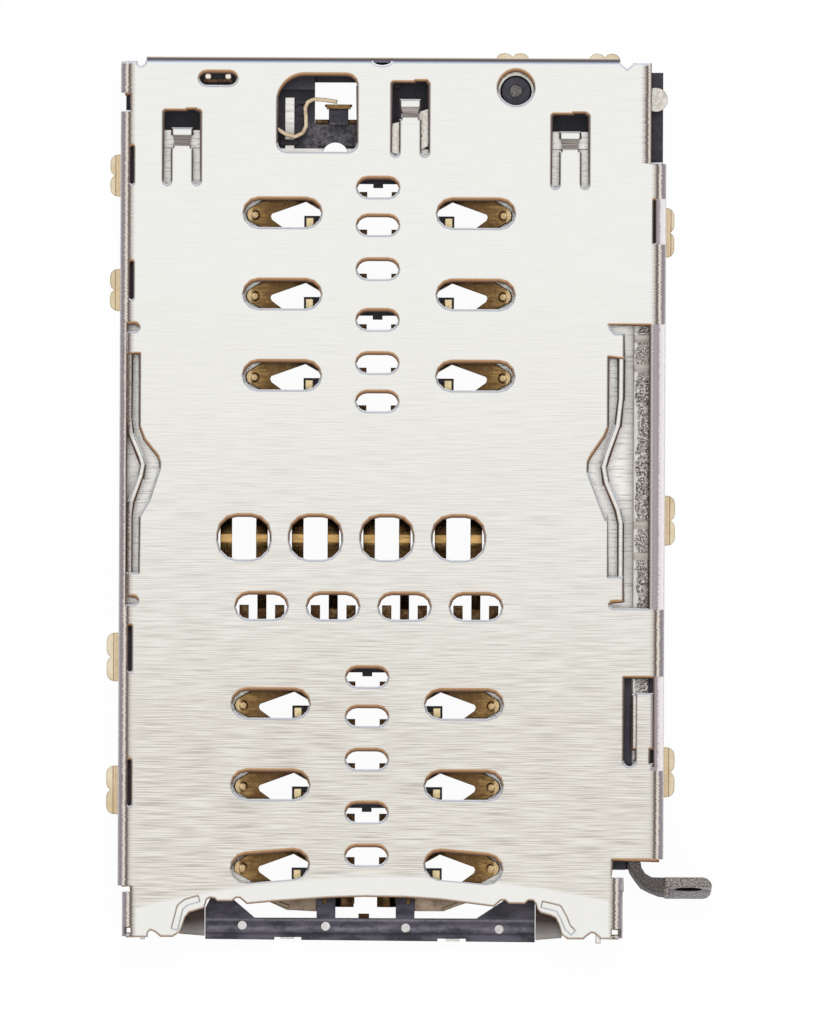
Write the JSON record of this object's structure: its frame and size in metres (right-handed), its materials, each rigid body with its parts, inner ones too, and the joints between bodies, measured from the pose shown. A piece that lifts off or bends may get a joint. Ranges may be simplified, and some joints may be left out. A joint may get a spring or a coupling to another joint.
{
  "type": "card reader",
  "caption": "Low board-mounted card reader with a stamped steel shell, spring contacts in a moulded base, and a side push rod that turns an ejector lever.",
  "frame": {"origin": "on the solder side of the moulded base, on the solid bar between the card bays, near the middle of the reader", "axes": "+Y from the card mouth to the rear wall, +X towards the push rod side, +Z from the solder side out through the roof"},
  "size_m": [0.0187, 0.0274, 0.0014],
  "materials": {
    "shell_steel": "brushed",
    "base_plastic": "matt",
    "floor_steel": "brushed",
    "spring_gold": "plated",
    "tab_gold": "plated",
    "bright_metal": "bright",
    "rod_metal": "sintered",
    "lever_steel": "satin"
  },
  "bodies": {
    "frame": {"shell": "shell_steel", "base_housing": "base_plastic", "floor_plate": "floor_steel", "brace_left": "spring_gold", "brace_right": "spring_gold", "sim1_contact_1": "spring_gold", "sim1_contact_2": "spring_gold", "sim1_contact_3": "spring_gold", "sim1_contact_4": "spring_gold", "sim1_contact_5": "spring_gold", "sim1_contact_6": "spring_gold", "sim2_contact_1": "spring_gold", "sim2_contact_2": "spring_gold", "sim2_contact_3": "spring_gold", "sim2_contact_4": "spring_gold", "sim2_contact_5": "spring_gold", "sim2_contact_6": "spring_gold", "sd_contact_1": "spring_gold", "sd_contact_2": "spring_gold", "sd_contact_3": "spring_gold", "sd_contact_4": "spring_gold", "sd_contact_5": "spring_gold", "sd_contact_6": "spring_gold", "sd_contact_7": "spring_gold", "sd_contact_8": "spring_gold", "detect_spring": "spring_gold", "detect_contact": "spring_gold", "rear_clip": "spring_gold", "pivot_pin": "bright_metal", "bar_pin_1": "bright_metal", "bar_pin_2": "bright_metal", "bar_pin_3": "bright_metal", "bar_pin_4": "bright_metal", "bar_stub_1": "bright_metal", "bar_stub_2": "bright_metal", "mouth_stub": "spring_gold", "ground_tab_left_1": "tab_gold", "ground_tab_left_2": "tab_gold", "ground_tab_left_3": "tab_gold", "ground_tab_left_4": "tab_gold", "ground_tab_right_1": "tab_gold", "ground_tab_right_2": "tab_gold", "ground_tab_right_3": "tab_gold", "ground_tab_rear_1": "tab_gold", "ground_tab_rear_2": "tab_gold"},
    "rod": {"push_rod": "rod_metal"},
    "lever": {"eject_lever": "lever_steel"}
  },
  "joints": [
    {"name": "rod_slide", "type": "slide", "parent": "frame", "child": "rod", "axis": [0, 1, 0], "range_m": [0, 0.001]},
    {"name": "lever_turn", "type": "hinge", "parent": "frame", "child": "lever", "pos_m": [0.00376, 0.0126, 0.0009], "axis": [0, 0, 1], "range_deg": [0, 15.2]}
  ],
  "couplings": [
    {"joint": "lever_turn", "follows": "rod_slide", "rad_per_m": 258.9}
  ]
}
